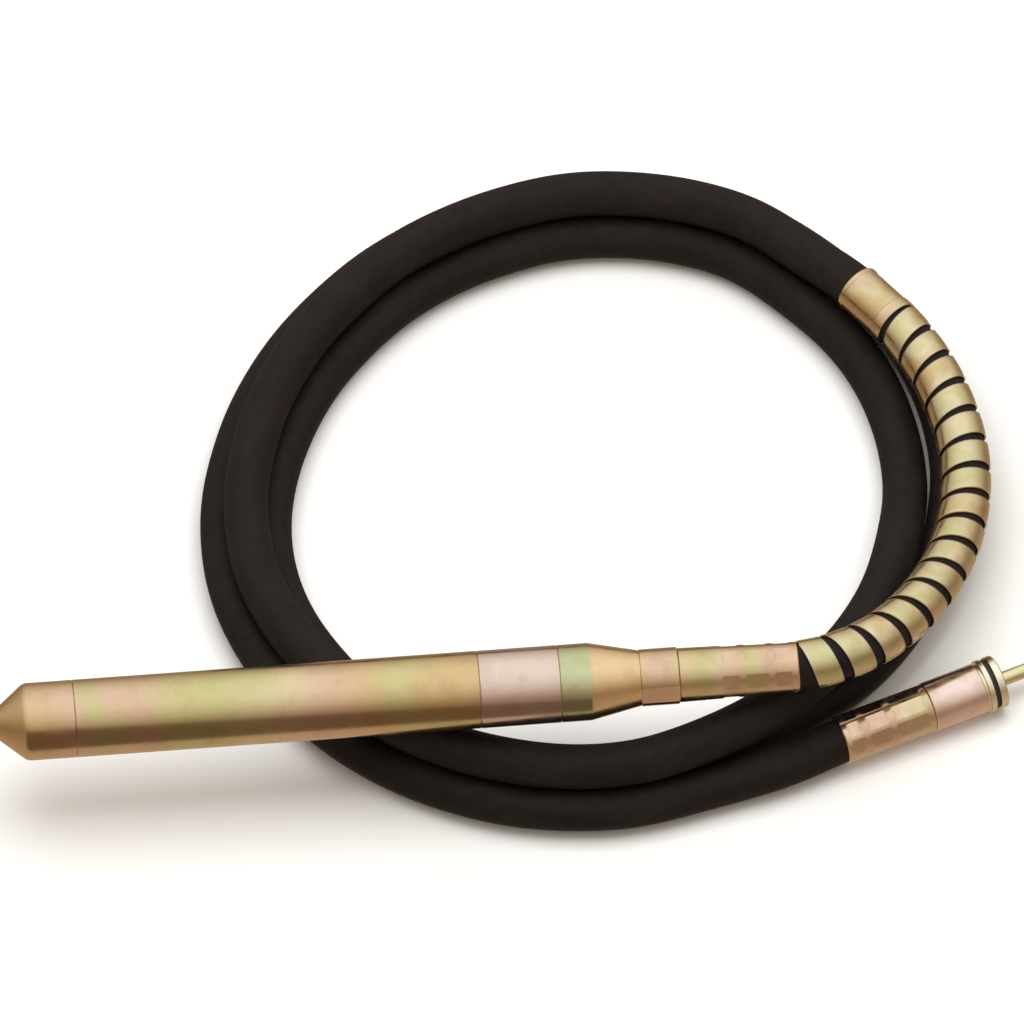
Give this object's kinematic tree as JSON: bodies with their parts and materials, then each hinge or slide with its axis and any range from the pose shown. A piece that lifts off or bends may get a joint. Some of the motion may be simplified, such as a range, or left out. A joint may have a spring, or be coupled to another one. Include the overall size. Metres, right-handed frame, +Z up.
{
  "type": "concrete vibrator poker",
  "caption": "Concrete vibrator with a plated steel poker head, an eccentric rotor inside, a coiled rubber hose with a flat-strip guard spring, and a drive coupling.",
  "frame": {"origin": "on the ground, below the middle of the box around the head and the drive coupling", "axes": "+X along the head axis from nose to hose, +Z up, +Y towards the coil"},
  "size_m": [0.6941, 0.516, 0.1085],
  "materials": {
    "plated_steel": "yellow iridescent zinc plate, satin",
    "guard_steel": "yellow zinc plate, satin",
    "machined_steel": "machined",
    "wire_steel": "oiled wire",
    "bronze": "sintered bronze",
    "hose_rubber": "matte black rubber",
    "seal_rubber": "smooth black rubber"
  },
  "bodies": {
    "root": {"nose_cone": "plated_steel", "nose_seal_ring": "seal_rubber", "head_tube": "plated_steel", "preload_ring": "machined_steel", "front_bearing_outer": "machined_steel", "rear_bearing_outers": "machined_steel", "bearing_housing": "plated_steel", "housing_seal_ring": "seal_rubber", "rear_circlip": "machined_steel", "oil_seal": "seal_rubber", "tail_cone": "plated_steel", "tail_seal_ring": "seal_rubber", "hose_nut": "plated_steel", "hose_stem_head": "machined_steel", "head_ferrule": "plated_steel", "drive_core": "wire_steel", "hose_liner": "wire_steel", "hose": "hose_rubber", "guard_spring": "guard_steel", "guard_sleeve": "guard_steel", "drive_ferrule": "plated_steel", "hose_stem_drive": "machined_steel", "drive_coupling": "plated_steel", "drive_bush": "bronze", "coupling_ring": "plated_steel", "ring_seal": "seal_rubber"},
    "rotor": {"eccentric_rotor": "machined_steel", "front_bearing_inner": "machined_steel", "rear_bearing_inners": "machined_steel", "drive_socket": "machined_steel", "core_end_head": "machined_steel"},
    "front_ball_set": {"front_bearing_balls": "machined_steel", "front_bearing_cage": "bronze"},
    "rear_ball_set": {"rear_bearing_balls": "machined_steel", "rear_bearing_cages": "bronze"},
    "tip_shaft": {"core_end_drive": "machined_steel", "drive_tip": "plated_steel", "drive_circlip": "machined_steel"}
  },
  "joints": [
    {"name": "rotor_spin", "type": "hinge", "parent": "root", "child": "rotor", "pos_m": [-0.149, -0.003, 0.083], "axis": [1, 0, 0], "continuous": true},
    {"name": "front_ball_orbit", "type": "hinge", "parent": "root", "child": "front_ball_set", "pos_m": [-0.27, -0.003, 0.083], "axis": [1, 0, 0], "continuous": true},
    {"name": "rear_ball_orbit", "type": "hinge", "parent": "root", "child": "rear_ball_set", "pos_m": [-0.0108, -0.003, 0.083], "axis": [1, 0, 0], "continuous": true},
    {"name": "tip_spin", "type": "hinge", "parent": "root", "child": "tip_shaft", "pos_m": [0.30326, 0.01288, 0.0178], "axis": [0.9426, 0.3338, 0], "continuous": true}
  ],
  "couplings": [
    {"joint": "front_ball_orbit", "follows": "rotor_spin", "ratio": 0.3877},
    {"joint": "rear_ball_orbit", "follows": "rotor_spin", "ratio": 0.3877},
    {"joint": "tip_spin", "follows": "rotor_spin", "ratio": 1}
  ]
}
